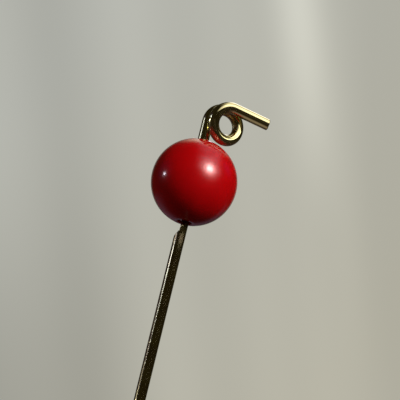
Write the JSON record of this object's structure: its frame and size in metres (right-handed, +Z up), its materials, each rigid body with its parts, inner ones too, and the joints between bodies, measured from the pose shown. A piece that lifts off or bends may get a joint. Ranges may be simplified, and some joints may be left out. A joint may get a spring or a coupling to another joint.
{
  "type": "bead-headed wire pin",
  "caption": "Straight brass wire pin with a ground point, a red round bead that turns on the wire above a pinch, and a small looped eye with a straight tail.",
  "frame": {"origin": "on the pin's axis, where the round shank ends and the pinch under the bead begins", "axes": "+Z up the pin's axis, from the point to the loop; the loop and its tail lie on the +X side, and the loop's turns advance toward -Y"},
  "size_m": [0.0068, 0.006, 0.057],
  "materials": {
    "brass_wire": "polished, with a duller, tarnished shank",
    "red_bead": "glossy"
  },
  "bodies": {
    "pin": {"pin_wire": "brass_wire"},
    "bead": {"bead": "red_bead"}
  },
  "joints": [
    {"name": "bead_spin", "type": "hinge", "parent": "pin", "child": "bead", "pos_m": [0.00007, -0.00004, 0.00386], "axis": [0, 0, 1], "continuous": true}
  ]
}
